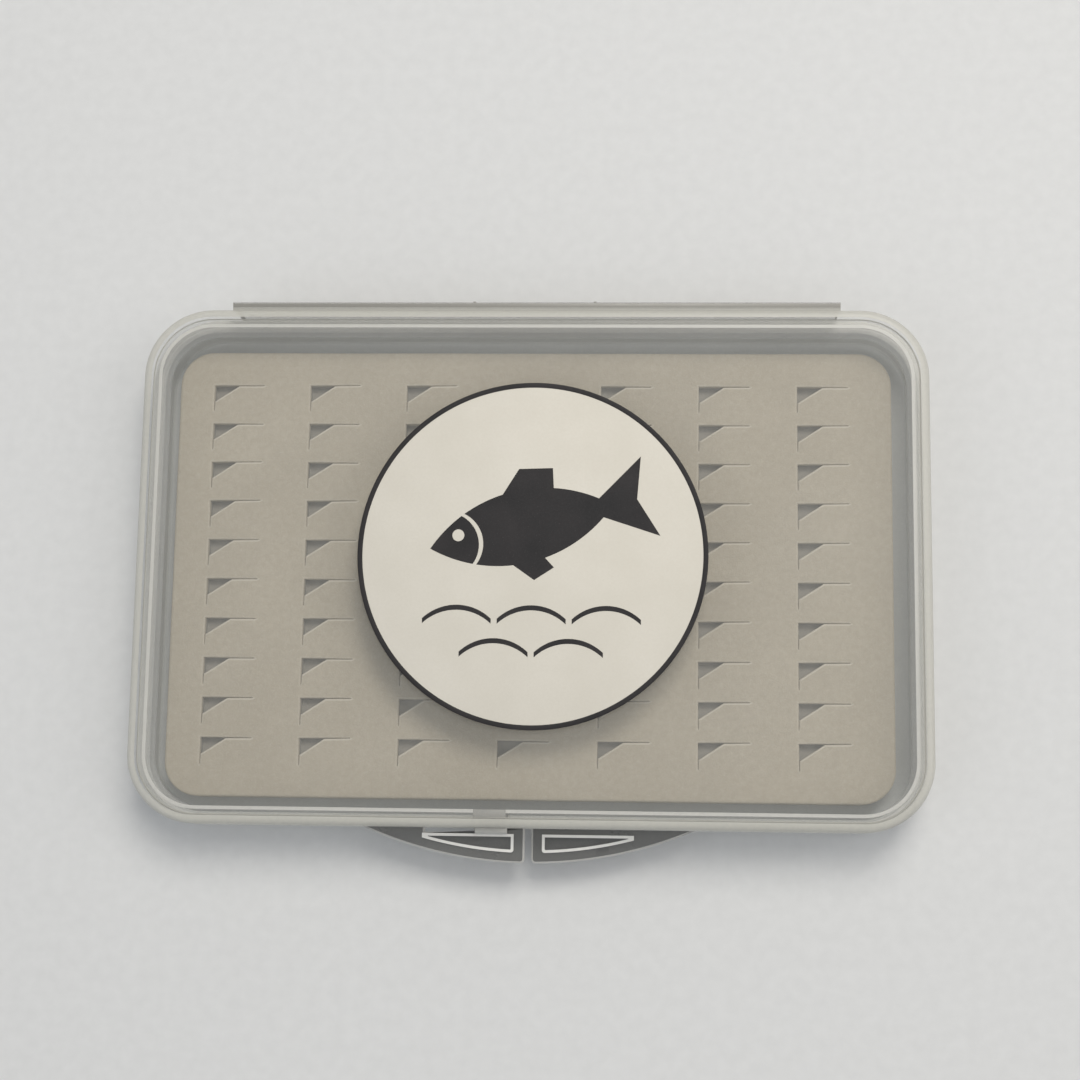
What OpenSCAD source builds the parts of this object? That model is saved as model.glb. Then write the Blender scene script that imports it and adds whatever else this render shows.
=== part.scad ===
// Slim fly box: a one-shot moulded case with a double living hinge, a slotted foam bed and a round label.
// +X runs to the right, +Y to the hinge and +Z up. The origin lies under the middle of the whole outline.

/* [Case] */
// Width of the case, side to side
case_w = 144.4; // [140:0.1:150]
// Depth of the case, front wall to back wall
case_d = 94.7; // [93:0.1:102]
// Closed height of the case, without the label
case_h = 16; // [15.5:0.5:18]
// Height of the joint line between base and lid
parting_z = 8; // [7.6:0.1:8.4]
// Outer corner radius seen from above
corner_r = 12.5; // [10:0.5:15]
// Radius of the soft edge round the base's floor and the lid's top
edge_r = 1.2; // [0.8:0.1:1.3]
// Thickness of the base's wall, sealing rim included
base_wall_t = 2.35; // [2:0.05:2.4]
// Thickness of the lid's wall
lid_wall_t = 1.5; // [1.3:0.05:1.6]
// Thickness of the base's floor
floor_t = 1; // [0.8:0.1:1.2]
// Thickness of the lid's top plate
plate_t = 1.2; // [1:0.1:1.4]

/* [Seal] */
// Thickness of the rim that stands on the base's wall
seal_rim_t = 0.4; // [0.35:0.05:0.45]
// Height of the top of that rim
seal_rim_z = 9; // [8.7:0.1:9.1]
// Thickness of the lip that hangs inside the rim
lip_t = 0.6; // [0.5:0.05:0.6]
// Distance from the case's outer face to the lip's inner face
lip_inset = 3.2; // [3.2:0.05:3.4]
// Height of the lip's lower edge when closed
lip_z = 7.1; // [6.8:0.1:7.6]

/* [Hinge] */
// Length of the hinge spine
spine_l = 112.6; // [100:0.1:116]
// Thickness of the hinge spine
spine_t = 1.1; // [0.9:0.05:1.2]
// Height of the lower fold
lower_fold_z = 1.8; // [1.8:0.1:2]
// Height of the upper fold
upper_fold_z = 14.4; // [14.4:0.1:14.4]
// Width of each hinge film, from the wall to the spine
film_w = 0.7; // [0.6:0.05:0.8]
// Thickness of each hinge film
film_t = 0.35; // [0.3:0.05:0.4]
// Distance of each stiffening rib from the middle of the spine
spine_rib_x = 11.2; // [8:0.1:20]

/* [Thumb tabs] */
// How far the tabs stand out from the front wall
tab_reach = 6.2; // [5:0.1:7]
// Half the width of the pair of tabs
tab_half_w = 30; // [26:0.5:34]
// Thickness of each tab's plate
tab_t = 1; // [0.8:0.1:1.2]
// Gap between the two tabs
tab_gap = 1.15; // [1:0.05:1.6]

/* [Foam] */
// Width of the foam bed
foam_w = 133.5; // [130:0.1:134]
// Depth of the foam bed
foam_d = 83.5; // [82:0.1:84]
// Thickness of the foam bed
foam_t = 6; // [5:0.1:6.5]
// Corner radius of the foam bed
foam_r = 6.3; // [4:0.1:9]
// Distance of the foam bed's centre to the left of and in front of the middle of the case
foam_off = 0.5; // [0:0.1:0.6]
// Number of slots across
slot_columns = 7; // [1:1:7]
// Number of slots from back to front
slot_rows = 10; // [1:1:10]

/* [Label] */
// Diameter of the label
label_dia = 63.5; // [50:0.5:70]
// Width of the printed border ring
border_w = 0.9; // [0.5:0.1:2]
// Distance of the label's centre to the right of the middle of the lid
label_x = 0.4; // [-2:0.1:2]
// Distance of the label's centre behind the middle of the lid
label_y = 1.6; // [0:0.1:3]

/* [Hidden] */

eps = 0.01;
parting_gap = 0.2;
base_top_z = parting_z - parting_gap / 2;
lid_bottom_z = parting_z + parting_gap / 2;
plate_under_z = case_h - plate_t;
front_y = -case_d / 2;
back_y = case_d / 2;

// Spine: an upright strip that stands off the back wall by the width of the films.
spine_in_y = back_y + film_w;
spine_out_y = spine_in_y + spine_t;
spine_corner_r = 0.4;
rib_w = 0.5;
rib_proud = 0.25;

// Latch: a block on the lid bridges wall and lip in a notch of the base's rim. Its tongue reaches down
// behind a lug that stands in the notch, and the tongue's bead sits under the lug's bead.
latch_x = -6.6;
latch_w = 5.8;
latch_side_gap = 0.4;
latch_tongue_inset = 2.75;
latch_tongue_z = 6.8;
latch_bead = 0.12;
latch_bead_h = 0.6;
latch_bead_w = 4.8;
lug_inset = 1.75;
lug_bead_z = 8.2;
tongue_bead_z = 7.4;
boss_rise = 1.2;
boss_chamfer = 0.3;

// Tabs: a plate inside a large arc, with a raised rim round a thin window.
base_tab_z = 6.8;
lid_tab_z = 8.2;
tab_arc_r = (pow(tab_half_w, 2) + pow(tab_reach, 2)) / (2 * tab_reach);
tab_corner_r = 0.8;
tab_centre_y = tab_arc_r - tab_reach;
tab_turn = asin((tab_gap / 2 + tab_corner_r) / (tab_arc_r - tab_corner_r));
tab_low = (tab_arc_r - tab_corner_r) * cos(tab_turn) + tab_corner_r - tab_centre_y;
window_top = 1;
window_side = 1.95;
window_edge = 1.85;
window_rim_w = 0.5;
window_rim_h = 0.35;
window_depth = 0.5;
window_tip_x = 19.1;
core_slot_x = -14.2;
core_slot_w = 9;
core_slot_d = 0.8;

// The outline reaches past the case at the tabs and at the hinge ribs, so the case sits off the origin.
case_y = (tab_low - (spine_out_y + rib_proud - back_y)) / 2;

// Foam slots: a right-angled pocket with a slit along its back edge and another down its left edge.
adhesive_t = 0.25;
foam_z = floor_t + adhesive_t;
slot_pitch_x = 18.26;
slot_pitch_y = 7.37;
slot_first_x = -60.7;
slot_first_y = 34.85;
pocket_w = 4.8;
pocket_d = 3.1;
slit_w = 0.2;
slit_right = 9.3;
slit_down = 4.8;
pocket_depth = 2.2;
slit_depth = 4.8;

// Label layers, from the lid up.
label_adhesive_t = 0.06;
label_film_t = 0.11;
ink_t = 0.03;
label_r = label_dia / 2;
film_z = case_h + label_adhesive_t;
ink_z = film_z + label_film_t;

// Picture: a leaping fish over two ripples, in the label's own coordinates.
fish_l = 34;
fish_arc_r = 25;
fish_tilt = 14;
ripple_r = 9;
ripple_w = 0.9;
ripple_l = 12.4;
ripple_pitch = 13.5;

// Points along an arc, from angle a0 to angle a1.
function arc(cx, cy, r, a0, a1, n) = [
  for (i = [0:n])
    let (a = a0 + (a1 - a0) * i / n)
    [cx + r * cos(a), cy + r * sin(a)]
];

// Moves a piece drawn about the middle of the case into the frame.
module in_case(z = 0) {
  translate([0, case_y, z]) children();
}

// Sweeps a wall's section round a rounded rectangle. The section's x is counted from the corner's centre.
module swept_frame(w, d, r) {
  for (k = [0:3]) {
    a = (k % 2 == 0 ? w : d) / 2 - r;
    b = (k % 2 == 0 ? d : w) / 2 - r;
    rotate([0, 0, 90 * k]) {
      translate([a, 0, 0]) rotate([90, 0, 0]) linear_extrude(height = 2 * b, center = true) children();
      translate([a, b, 0]) rotate_extrude(angle = 90, $fn = 96) children();
    }
  }
}

// The flat middle that closes a swept frame whose section starts at the corner's centre.
module middle_slab(w, d, r, t) {
  translate([r - w / 2, r - d / 2, 0]) cube([w - 2 * r, d - 2 * r, t]);
}

// A flat slab with rounded corners, standing on z = 0.
module rounded_slab(w, d, r, t) {
  swept_frame(w, d, r) square([r, t]);
  middle_slab(w, d, r, t);
}

// A wall that stands between two insets from the case's outer face.
module ring_wall(inset_out, inset_in, z0, z1) {
  swept_frame(case_w, case_d, corner_r)
    translate([corner_r - inset_in, z0]) square([inset_in - inset_out, z1 - z0]);
}

// A box along the front wall, given by its middle in x, its width, two insets and two heights.
module front_box(x, w, inset_out, inset_in, z0, z1) {
  translate([x - w / 2, front_y + inset_out, z0]) cube([w, inset_in - inset_out, z1 - z0]);
}

// A small wedge-shaped bead along the front wall. side is +1 to point inwards and -1 to point outwards.
module latch_wedge(x, w, inset, side, z0) {
  translate([x - w / 2, front_y + inset, z0])
    rotate([90, 0, 90])
      linear_extrude(height = w)
        polygon([[0, 0], [side * latch_bead, latch_bead_h / 2], [0, latch_bead_h]]);
}

// Base: the floor and the wall in one shell.
module base_tray() {
  wall_x = corner_r - base_wall_t;
  section = concat(
    [[0, 0]],
    arc(corner_r - edge_r, edge_r, edge_r, -90, 0, 6),
    [[corner_r, base_top_z], [wall_x, base_top_z], [wall_x, floor_t], [0, floor_t]]
  );
  color("gainsboro") in_case() {
    swept_frame(case_w, case_d, corner_r) polygon(section);
    middle_slab(case_w, case_d, corner_r, floor_t);
  }
}

// Base: the thin rim that stands on the wall, with a notch for the latch.
module base_seal_rim() {
  notch_w = latch_w + 2 * latch_side_gap;
  color("whitesmoke") in_case() difference() {
    ring_wall(base_wall_t - seal_rim_t, base_wall_t, base_top_z, seal_rim_z);
    front_box(latch_x, notch_w, lid_wall_t, lip_inset, base_top_z - 1, seal_rim_z + 1);
  }
}

// Base: the lug that stands in the notch, with the bead that holds the lid shut.
module base_latch_lug() {
  color("silver") in_case() {
    front_box(latch_x, latch_w, lug_inset, base_wall_t, base_top_z, seal_rim_z);
    latch_wedge(latch_x, latch_bead_w, base_wall_t, 1, lug_bead_z);
  }
}

// Lid: the top plate and the outer wall.
module lid_shell() {
  wall_x = corner_r - lid_wall_t;
  section = concat(
    [[0, plate_under_z], [wall_x, plate_under_z], [wall_x, lid_bottom_z], [corner_r, lid_bottom_z]],
    arc(corner_r - edge_r, case_h - edge_r, edge_r, 0, 90, 6),
    [[0, case_h]]
  );
  color("lightgray", 0.6) in_case() {
    swept_frame(case_w, case_d, corner_r) polygon(section);
    translate([0, 0, plate_under_z]) middle_slab(case_w, case_d, corner_r, plate_t);
  }
}

// Lid: the lip that hangs inside the base's rim, left out at the latch.
module lid_seal_lip() {
  color("whitesmoke") in_case() difference() {
    ring_wall(lip_inset - lip_t, lip_inset, lip_z, plate_under_z);
    front_box(latch_x, latch_w, lid_wall_t, lip_inset + 1, lip_z - 1, case_h);
  }
}

// Lid: the latch block with its tongue and bead, and the boss that braces it on the lid's tab.
module lid_latch_block() {
  block_z = seal_rim_z + 2 * parting_gap;
  boss_z = lid_tab_z + tab_t;
  color("silver") in_case() {
    front_box(latch_x, latch_w, lid_wall_t, lip_inset, block_z, plate_under_z);
    front_box(latch_x, latch_w, latch_tongue_inset, lip_inset, latch_tongue_z, block_z);
    latch_wedge(latch_x, latch_bead_w, latch_tongue_inset, -1, tongue_bead_z);
    translate([latch_x - latch_w / 2, front_y, boss_z])
      rotate([90, 0, 90])
        linear_extrude(height = latch_w)
          polygon([
            [0, 0], [-window_top, 0], [-window_top, boss_rise - boss_chamfer],
            [boss_chamfer - window_top, boss_rise], [0, boss_rise]
          ]);
  }
}

// Half of the pair of tabs in plan, to the right of the gap, drawn a distance inside the tab's own outline.
module tab_outline(top, side, edge, corner) {
  r = tab_arc_r - edge;
  x0 = tab_gap / 2 + side;
  turn = asin((x0 + corner) / (r - corner));
  tip = acos((tab_centre_y + top) / r);
  corner_y = tab_centre_y - (r - corner) * cos(turn);
  polygon(concat(
    [[x0, -top]],
    arc(x0 + corner, corner_y, corner, 180, 270, 6),
    arc(x0 + corner, corner_y, corner, 270 + turn / 2, 270 + turn, 1),
    arc(0, tab_centre_y, r, 270 + turn, 270 + tip, 24)
  ));
}

// A window outline inside the tab, a margin in from the rim's outer edge, cut off square at its thin end.
module window_outline(margin, corner) {
  intersection() {
    tab_outline(window_top + margin, window_side + margin, window_edge + margin, corner);
    translate([0, -tab_reach]) square([window_tip_x - 2 * margin, tab_reach]);
  }
}

// One thumb tab to the right of the gap: its plate, the raised rim and the thin window inside it.
module thumb_tab() {
  difference() {
    union() {
      linear_extrude(height = tab_t) tab_outline(0, 0, 0, tab_corner_r);
      linear_extrude(height = tab_t + window_rim_h) window_outline(0, 0.5);
    }
    translate([0, 0, tab_t - window_depth])
      linear_extrude(height = window_depth + window_rim_h + 1) window_outline(window_rim_w, 0.2);
  }
}

// Base: the right-hand thumb tab.
module base_thumb_tab() {
  color("darkgray") in_case(base_tab_z) translate([0, front_y, 0]) thumb_tab();
}

// Lid: the left-hand thumb tab, with the slot that the latch is cored through.
module lid_thumb_tab() {
  color("darkgray") in_case(lid_tab_z) translate([0, front_y, 0]) difference() {
    mirror([1, 0, 0]) thumb_tab();
    translate([core_slot_x - core_slot_w / 2, -core_slot_d, -1]) cube([core_slot_w, core_slot_d + 1, tab_t + 2]);
  }
}

// A film that joins a wall to the spine at one fold.
module hinge_film(fold_z) {
  in_case(fold_z - film_t / 2) translate([-spine_l / 2, back_y, 0]) cube([spine_l, film_w, film_t]);
}

// Film between the base's back wall and the spine.
module hinge_film_lower() {
  color("lightgray") hinge_film(lower_fold_z);
}

// Film between the spine and the lid's back wall.
module hinge_film_upper() {
  color("lightgray") hinge_film(upper_fold_z);
}

// The spine: an upright strip behind the case, with two narrow ribs on its outer face.
module hinge_spine() {
  z0 = lower_fold_z - film_t / 2;
  z1 = upper_fold_z + film_t / 2;
  out_x = spine_out_y - spine_corner_r;
  section = concat(
    [[spine_in_y, z0]],
    arc(out_x, z0 + spine_corner_r, spine_corner_r, -90, 0, 4),
    arc(out_x, z1 - spine_corner_r, spine_corner_r, 0, 90, 4),
    [[spine_in_y, z1]]
  );
  color("lightgray") in_case() {
    translate([-spine_l / 2, 0, 0]) rotate([90, 0, 90]) linear_extrude(height = spine_l) polygon(section);
    for (side = [-1, 1])
      translate([side * spine_rib_x - rib_w / 2, spine_out_y - eps, z0 + 2 * spine_corner_r])
        cube([rib_w, rib_proud + eps, z1 - z0 - 4 * spine_corner_r]);
  }
}

// The sheet that sticks the foam to the floor.
module foam_adhesive() {
  margin = 1;
  color("khaki") in_case(floor_t) translate([-foam_off, -foam_off, 0])
    rounded_slab(foam_w - 2 * margin, foam_d - 2 * margin, foam_r - margin, adhesive_t);
}

// One slot, cut down from z = 0: a shallow pocket with its back left corner at the origin, and two slits.
module slot_cut() {
  translate([0, 0, -pocket_depth])
    linear_extrude(height = pocket_depth + 1) polygon([[0, 0], [pocket_w, 0], [0, -pocket_d]]);
  translate([0, 0, -slit_depth])
    linear_extrude(height = slit_depth + 1) {
      translate([0, -slit_w]) square([slit_right, slit_w]);
      translate([0, -slit_down]) square([slit_w, slit_down]);
    }
}

// The foam bed with its grid of slots.
module foam_bed() {
  color("tan") in_case(foam_z) difference() {
    translate([-foam_off, -foam_off, 0]) rounded_slab(foam_w, foam_d, foam_r, foam_t);
    for (column = [0:slot_columns - 1], row = [0:slot_rows - 1])
      translate([slot_first_x + column * slot_pitch_x, slot_first_y - row * slot_pitch_y, foam_t]) slot_cut();
  }
}

// The label's glue.
module label_adhesive() {
  color("ivory") in_case(case_h) translate([label_x, label_y, 0])
    cylinder(r = label_r, h = label_adhesive_t, $fn = 180);
}

// The label's printed film.
module label_film() {
  color("ivory") in_case(film_z) translate([label_x, label_y, 0])
    cylinder(r = label_r, h = label_film_t, $fn = 180);
}

// The dark ring printed along the label's edge.
module label_border() {
  color("black") in_case(ink_z) translate([label_x, label_y, 0]) difference() {
    cylinder(r = label_r, h = ink_t, $fn = 180);
    translate([0, 0, -1]) cylinder(r = label_r - border_w, h = ink_t + 2, $fn = 180);
  }
}

// A plain fish in profile, facing left, between two arcs, with a forked tail and two fins.
module fish_plan() {
  drop = sqrt(pow(fish_arc_r, 2) - pow(fish_l / 2, 2));
  difference() {
    union() {
      intersection() {
        translate([0, drop]) circle(r = fish_arc_r, $fn = 120);
        translate([0, -drop]) circle(r = fish_arc_r, $fn = 120);
      }
      polygon([[12, 0], [24, 7.5], [21.5, 0], [24, -7.5]]);
      polygon([[-3, 5.6], [2, 10.5], [8, 9.2], [7, 4]]);
      polygon([[-4, -5.4], [0, -10], [4, -8.6], [2, -5]]);
    }
    translate([-11.5, 1.2]) circle(r = 1.1, $fn = 32);
    difference() {
      translate([-13.5, 0]) circle(r = 6.2, $fn = 64);
      translate([-14.1, 0]) circle(r = 6, $fn = 64);
    }
  }
}

// One ripple: a row of separate shallow arcs.
module ripple_plan(count) {
  for (k = [0:count - 1])
    translate([(k - (count - 1) / 2) * ripple_pitch, -ripple_r * 0.7])
      intersection() {
        difference() {
          circle(r = ripple_r, $fn = 96);
          translate([0, -ripple_w]) circle(r = ripple_r, $fn = 96);
        }
        translate([-ripple_l / 2, 0]) square([ripple_l, 2 * ripple_r]);
      }
}

// The picture printed in the middle of the label.
module label_artwork() {
  color("black") in_case(ink_z) translate([label_x, label_y, 0]) linear_extrude(height = ink_t) {
    translate([-2, 5]) rotate(fish_tilt) fish_plan();
    translate([0, -12]) ripple_plan(3);
    translate([0, -18]) ripple_plan(2);
  }
}

base_tray();
base_seal_rim();
base_latch_lug();
base_thumb_tab();
foam_adhesive();
foam_bed();
hinge_film_lower();
hinge_spine();
hinge_film_upper();
lid_shell();
lid_seal_lip();
lid_latch_block();
lid_thumb_tab();
label_adhesive();
label_film();
label_border();
label_artwork();
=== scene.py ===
"""A slim fly box: a translucent moulded case with a living hinge, a slotted foam bed and a round label."""
import math
import random

import bmesh
import bpy
from mathutils import Matrix, Vector, noise
from mathutils.bvhtree import BVHTree
from mathutils.geometry import delaunay_2d_cdt
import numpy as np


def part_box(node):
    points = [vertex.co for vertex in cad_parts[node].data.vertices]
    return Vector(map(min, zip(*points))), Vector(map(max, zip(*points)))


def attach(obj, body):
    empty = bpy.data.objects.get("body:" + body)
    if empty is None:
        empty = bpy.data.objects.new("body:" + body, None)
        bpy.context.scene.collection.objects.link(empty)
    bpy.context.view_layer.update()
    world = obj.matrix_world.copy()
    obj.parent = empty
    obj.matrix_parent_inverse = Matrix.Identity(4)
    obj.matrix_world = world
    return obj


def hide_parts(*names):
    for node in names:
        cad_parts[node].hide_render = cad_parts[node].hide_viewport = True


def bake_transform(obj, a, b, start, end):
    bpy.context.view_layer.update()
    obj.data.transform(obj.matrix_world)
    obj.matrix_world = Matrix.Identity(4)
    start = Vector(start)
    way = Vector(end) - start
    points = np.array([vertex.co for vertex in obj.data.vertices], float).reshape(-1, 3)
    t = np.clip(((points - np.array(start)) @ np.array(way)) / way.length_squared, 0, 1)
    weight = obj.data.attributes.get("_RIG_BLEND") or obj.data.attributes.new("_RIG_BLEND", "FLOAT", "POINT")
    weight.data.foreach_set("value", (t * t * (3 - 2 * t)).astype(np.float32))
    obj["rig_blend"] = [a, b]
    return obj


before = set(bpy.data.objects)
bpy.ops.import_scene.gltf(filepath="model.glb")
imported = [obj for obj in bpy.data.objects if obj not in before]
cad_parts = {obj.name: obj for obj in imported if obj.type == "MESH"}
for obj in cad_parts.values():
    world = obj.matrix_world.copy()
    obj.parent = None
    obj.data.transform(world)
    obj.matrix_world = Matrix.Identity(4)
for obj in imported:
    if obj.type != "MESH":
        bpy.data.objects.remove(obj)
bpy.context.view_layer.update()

MM = 0.001

# The case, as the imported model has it. Lengths are in millimetres from here on, unless they say metres.
tray_low, tray_high = (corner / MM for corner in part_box("base_tray"))
shell_low, shell_high = (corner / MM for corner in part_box("lid_shell"))
foam_low, foam_high = (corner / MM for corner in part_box("foam_bed"))
CASE_Y = (tray_low.y + tray_high.y) / 2
HALF_W = (tray_high.x - tray_low.x) / 2
HALF_D = (tray_high.y - tray_low.y) / 2
CORNER_R = 12.5
EDGE_R = 1.2
FRONT_Y = tray_low.y

# Walls, as insets from the outer face.
BASE_WALL = 2.35
LID_WALL = 1.5
FLOOR_T = 1.0
PLATE_T = 1.2
PLATE_UNDER = shell_high.z - PLATE_T

# The rim on the base's wall and the lip under the lid's plate. Both are open at the latch, from x to x.
RIM_T = 0.4
RIM_NOTCH = (-9.9, -3.3)
LIP_OUTER = 2.6
LIP_INNER = 3.2
LIP_NOTCH = (-9.5, -3.7)

# Small radii: the edges at the parting line, the fillets on the base's floor and under the lid's plate, the
# ends of the base's wall and the rim, and the end of the lip.
PARTING_R = 0.18
FLOOR_FILLET = 0.7
PLATE_FILLET = 0.35
WALL_END_R = 0.12
LIP_END_R = 0.15

# The thumb tabs' plates: their tops, and the radii of the outer upper edge and of all other edges.
BASE_TAB_TOP = 7.8
LID_TAB_TOP = 9.2
TAB_EDGE_R = 0.32
TAB_SMALL_R = 0.15

# Pieces of one moulding stand this far apart, so that no two see-through faces lie in one place.
HAIR = 0.012

# The steps in a corner of the case, and the inset where a plate's ring ends and its one flat face begins.
CORNER_STEPS = 20
MIDDLE_INSET = 11.0


# ---------------------------------------------------------------- shapes

def rounded(corners, steps=4, lit=()):
    """A section with its corners rounded. Each corner is (inset, z, radius), and lit are the numbers of those
    whose faces get a painted highlight. Gives (inset, z, lit)."""
    points = []
    count = len(corners)
    for i, (x, z, radius) in enumerate(corners):
        if radius == 0:
            points.append((x, z, i in lit))
            continue
        here = Vector((x, z))
        before = (Vector(corners[i - 1][:2]) - here).normalized()
        after = (Vector(corners[(i + 1) % count][:2]) - here).normalized()
        half_angle = before.angle(after) / 2
        reach = radius / math.tan(half_angle)
        middle = here + (before + after).normalized() * radius / math.sin(half_angle)
        start = here + before * reach - middle
        end = here + after * reach - middle
        turn = math.pi - 2 * half_angle
        if start.cross(end) < 0:
            turn = -turn
        for k in range(steps + 1):
            a = turn * k / steps
            turned = Vector((
                start.x * math.cos(a) - start.y * math.sin(a),
                start.x * math.sin(a) + start.y * math.cos(a),
            ))
            points.append((middle.x + turned.x, middle.y + turned.y, i in lit and k < steps))
    return points


def outline(half_w, half_d, radius, inset, centre):
    """One turn round a rounded rectangle at an inset, counterclockwise from the front side's right end."""
    r = max(radius - inset, 0)
    points = []
    for quarter, (side_x, side_y) in enumerate([(1, -1), (1, 1), (-1, 1), (-1, -1)]):
        for i in range(CORNER_STEPS + 1):
            a = math.radians(90 * (quarter - 1) + 90 * i / CORNER_STEPS)
            x = side_x * (half_w - max(radius, inset)) + r * math.cos(a)
            y = side_y * (half_d - max(radius, inset)) + r * math.sin(a)
            points.append((centre[0] + x, centre[1] + y))
    return points


def case_outline(inset, notch=None):
    """The case's outline at an inset. With a notch it is open, and runs from the notch's right end to its
    left end."""
    points = outline(HALF_W, HALF_D, CORNER_R, inset, (0, CASE_Y))
    if notch:
        points.insert(0, (notch[1], FRONT_Y + inset))
        points.append((notch[0], FRONT_Y + inset))
    return points


def swept(section, path_of, path_closed, section_closed):
    """A solid whose section runs along a path. path_of(inset) gives the path's points in plan."""
    bm = bmesh.new()
    painted_highlight_layer = bm.faces.layers.float.new("edge")
    rings = []
    for inset, z, _ in section:
        rings.append([bm.verts.new((x * MM, y * MM, z * MM)) for x, y in path_of(inset)])
    count = len(rings[0])
    for j in range(len(rings) - (0 if section_closed else 1)):
        ring = rings[j]
        following = rings[(j + 1) % len(rings)]
        for i in range(count - (0 if path_closed else 1)):
            k = (i + 1) % count
            face = bm.faces.new((ring[i], ring[k], following[k], following[i]))
            # Faces after a corner marked lit get a painted highlight.
            face[painted_highlight_layer] = 1.0 if section[j][2] else 0.0
    if not section_closed:
        bm.faces.new(rings[0])
        bm.faces.new(rings[-1])
    if not path_closed:
        bm.faces.new([ring[0] for ring in rings])
        bm.faces.new([ring[-1] for ring in rings])
    bmesh.ops.recalc_face_normals(bm, faces=bm.faces)
    return bm


def from_cad(node, moves=(), bevel=0.0, sharp=25):
    """A copy of a CAD node's mesh with its edges rounded, the rounded faces marked for a painted highlight.
    Each of moves is (axis, value, shift), for a flat face to shift along an axis."""
    bm = bmesh.new()
    bm.from_mesh(bpy.data.objects[node].data)
    bmesh.ops.remove_doubles(bm, verts=bm.verts, dist=1e-6)
    bmesh.ops.dissolve_limit(bm, angle_limit=math.radians(0.2), verts=bm.verts, edges=bm.edges)
    for axis, value, shift in moves:
        for vert in bm.verts:
            if abs(vert.co[axis] / MM - value) < 0.004:
                vert.co[axis] += shift * MM
    painted_highlight_layer = bm.faces.layers.float.new("edge")
    if bevel:
        edges = [e for e in bm.edges if e.calc_face_angle(0) > math.radians(sharp)]
        made = bmesh.ops.bevel(
            bm, geom=edges, offset=bevel * MM, segments=2, profile=0.5, affect="EDGES", clamp_overlap=True,
        )
        for face in made["faces"]:
            face[painted_highlight_layer] = 1.0
    bmesh.ops.recalc_face_normals(bm, faces=bm.faces)
    return bm


def measure_walls(bm):
    """Stores on each face how much of the piece lies behind it, in millimetres. That sets how milky it looks.
    A face that looks down counts as no more than most_below."""
    most_below = 2.0
    wall_layer = bm.faces.layers.float.new("wall")
    tree = BVHTree.FromBMesh(bm)
    for face in bm.faces:
        start = face.calc_center_median() - face.normal * 0.002 * MM
        hit = tree.ray_cast(start, -face.normal)
        depth = (hit[3] or 0.0) / MM
        face[wall_layer] = min(depth, most_below) if face.normal.z < -0.5 else depth


def piece(name, bm, material, body, nodes, smooth=40):
    """Turns a finished mesh into a piece that rides on a body and stands for its CAD nodes."""
    mesh = bpy.data.meshes.new(name)
    bm.to_mesh(mesh)
    bm.free()
    if smooth:
        mesh.shade_smooth()
        mesh.set_sharp_from_angle(angle=math.radians(smooth))
    mesh.materials.append(material)
    ob = bpy.data.objects.new(name, mesh)
    bpy.context.scene.collection.objects.link(ob)
    if body:
        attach(ob, body)
    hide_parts(*nodes)
    return ob


# ---------------------------------------------------------------- materials

def wire(tree, node, values):
    """Sets or links a node's inputs. values maps an input's name or number to a value or a socket."""
    for key, value in values.items():
        if isinstance(value, bpy.types.NodeSocket):
            tree.links.new(value, node.inputs[key])
        else:
            node.inputs[key].default_value = value


def add(tree, kind, values=None, **settings):
    """Adds a shader node with its settings and its inputs' values."""
    made = tree.nodes.new(kind)
    for key, value in settings.items():
        setattr(made, key, value)
    wire(tree, made, values or {})
    return made


def maths(tree, operation, a, b=0.0, clamp=False):
    """A Math node's result."""
    return add(tree, "ShaderNodeMath", {0: a, 1: b}, operation=operation, use_clamp=clamp).outputs[0]


def blended(tree, amount, a, b):
    """Colour a where amount is 0 and colour b where it is 1."""
    return add(tree, "ShaderNodeMix", {0: amount, 6: a, 7: b}, data_type="RGBA").outputs[2]


def spread(tree, value, low, high, to_low=0.0, to_high=1.0):
    """A value's range from low to high, brought to another range and clamped."""
    made = add(
        tree, "ShaderNodeMapRange",
        {"Value": value, "From Min": low, "From Max": high, "To Min": to_low, "To Max": to_high},
    )
    return made.outputs["Result"]


def speckle(tree, coords, size_mm, detail=2.0, roughness=0.5):
    """Noise whose features are about size_mm across."""
    made = add(
        tree, "ShaderNodeTexNoise",
        {"Vector": coords, "Scale": 0.5 / (size_mm * MM), "Detail": detail, "Roughness": roughness},
    )
    return made.outputs["Fac"]


def scratches(tree, coords, turn, length_mm, width_mm, rarity):
    """Sparse fine scratches that run in one direction."""
    mapped = add(
        tree, "ShaderNodeMapping",
        {
            "Vector": coords,
            "Rotation": (0.0, 0.0, math.radians(turn)),
            "Scale": (1 / (length_mm * MM), 1 / (width_mm * MM), 1 / (width_mm * MM)),
        },
    ).outputs[0]
    lines = add(tree, "ShaderNodeTexNoise", {"Vector": mapped, "Scale": 1.0, "Detail": 1.0}).outputs["Fac"]
    return spread(tree, lines, rarity, rarity + 0.04)


def new_material(name):
    """A material with a Principled shader. Gives it, its node tree, the shader and the object coordinates."""
    mat = bpy.data.materials.new(name)
    mat.use_nodes = True
    tree = mat.node_tree
    tree.nodes.clear()
    shader = add(tree, "ShaderNodeBsdfPrincipled")
    output = add(tree, "ShaderNodeOutputMaterial")
    tree.links.new(shader.outputs[0], output.inputs["Surface"])
    coords = add(tree, "ShaderNodeTexCoord").outputs["Object"]
    return mat, tree, shader, coords


def bump(tree, height, strength, depth_mm):
    """A bump from a height of 0 to 1, depth_mm deep."""
    made = add(tree, "ShaderNodeBump", {"Height": height, "Strength": strength, "Distance": depth_mm * MM})
    return made.outputs["Normal"]


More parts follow.
